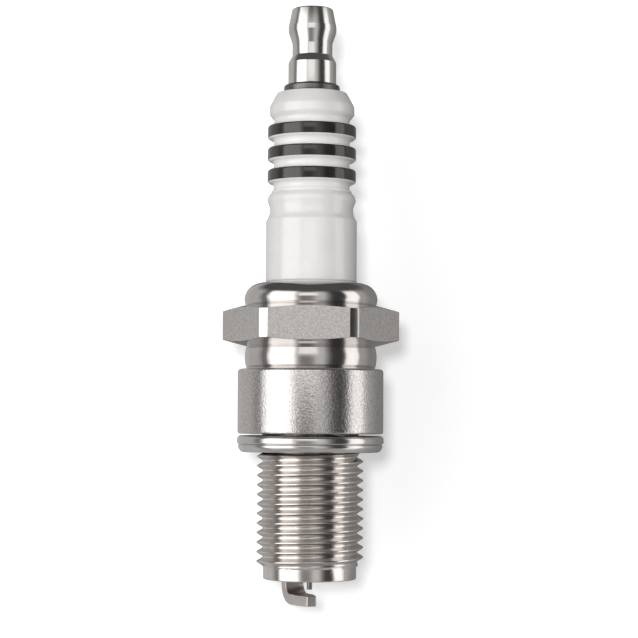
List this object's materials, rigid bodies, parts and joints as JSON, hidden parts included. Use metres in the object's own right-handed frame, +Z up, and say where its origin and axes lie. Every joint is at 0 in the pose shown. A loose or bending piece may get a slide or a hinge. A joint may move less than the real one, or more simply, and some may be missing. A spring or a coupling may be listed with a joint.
{
  "type": "spark plug",
  "caption": "Spark plug: threaded long-reach steel shell with hexagon and gasket, ribbed white ceramic insulator, removable terminal nut and fine-wire electrodes.",
  "frame": {"origin": "centre of the gasket's lower face, where the plug seats on the cylinder head", "axes": "+Z up the plug's axis to the terminal nut; two hexagon flats face -Y and +Y"},
  "size_m": [0.0232, 0.0208, 0.079],
  "materials": {
    "bright_nickel": "bright nickel-plated, turned",
    "dark_steel": "plain steel, dulled by firing",
    "white_glaze": "white alumina under clear glaze",
    "black_glaze": "black fired glaze",
    "glass_seal": "fused conductive glass",
    "resistor_body": "matt fired carbon and glass",
    "nickel_alloy": "drawn nickel alloy",
    "copper": "extruded copper",
    "iridium": "drawn iridium wire, dark",
    "satin_nickel": "cold-formed steel, satin nickel plate",
    "plain_steel": "stamped steel",
    "talc": "pressed talc powder",
    "gasket_steel": "folded nickel-plated steel sheet"
  },
  "bodies": {
    "plug": {"terminal_stud": "dark_steel", "insulator": "white_glaze", "rib_glaze": "black_glaze", "upper_seal": "glass_seal", "resistor": "resistor_body", "lower_seal": "glass_seal", "centre_electrode": "nickel_alloy", "electrode_core": "copper", "iridium_tip": "iridium", "shell": "satin_nickel", "seat_washer": "plain_steel", "lower_ring": "plain_steel", "talc_fill": "talc", "upper_ring": "plain_steel", "ground_electrode": "nickel_alloy"},
    "nut": {"terminal_nut": "bright_nickel"},
    "washer": {"gasket": "gasket_steel"}
  },
  "joints": [
    {"name": "terminal_nut_off", "type": "slide", "parent": "plug", "child": "nut", "axis": [0, 0, 1], "range_m": [0, 0.0075]},
    {"name": "gasket_play", "type": "slide", "parent": "plug", "child": "washer", "axis": [0, 0, 1], "range_m": [0, 0.0002]}
  ]
}
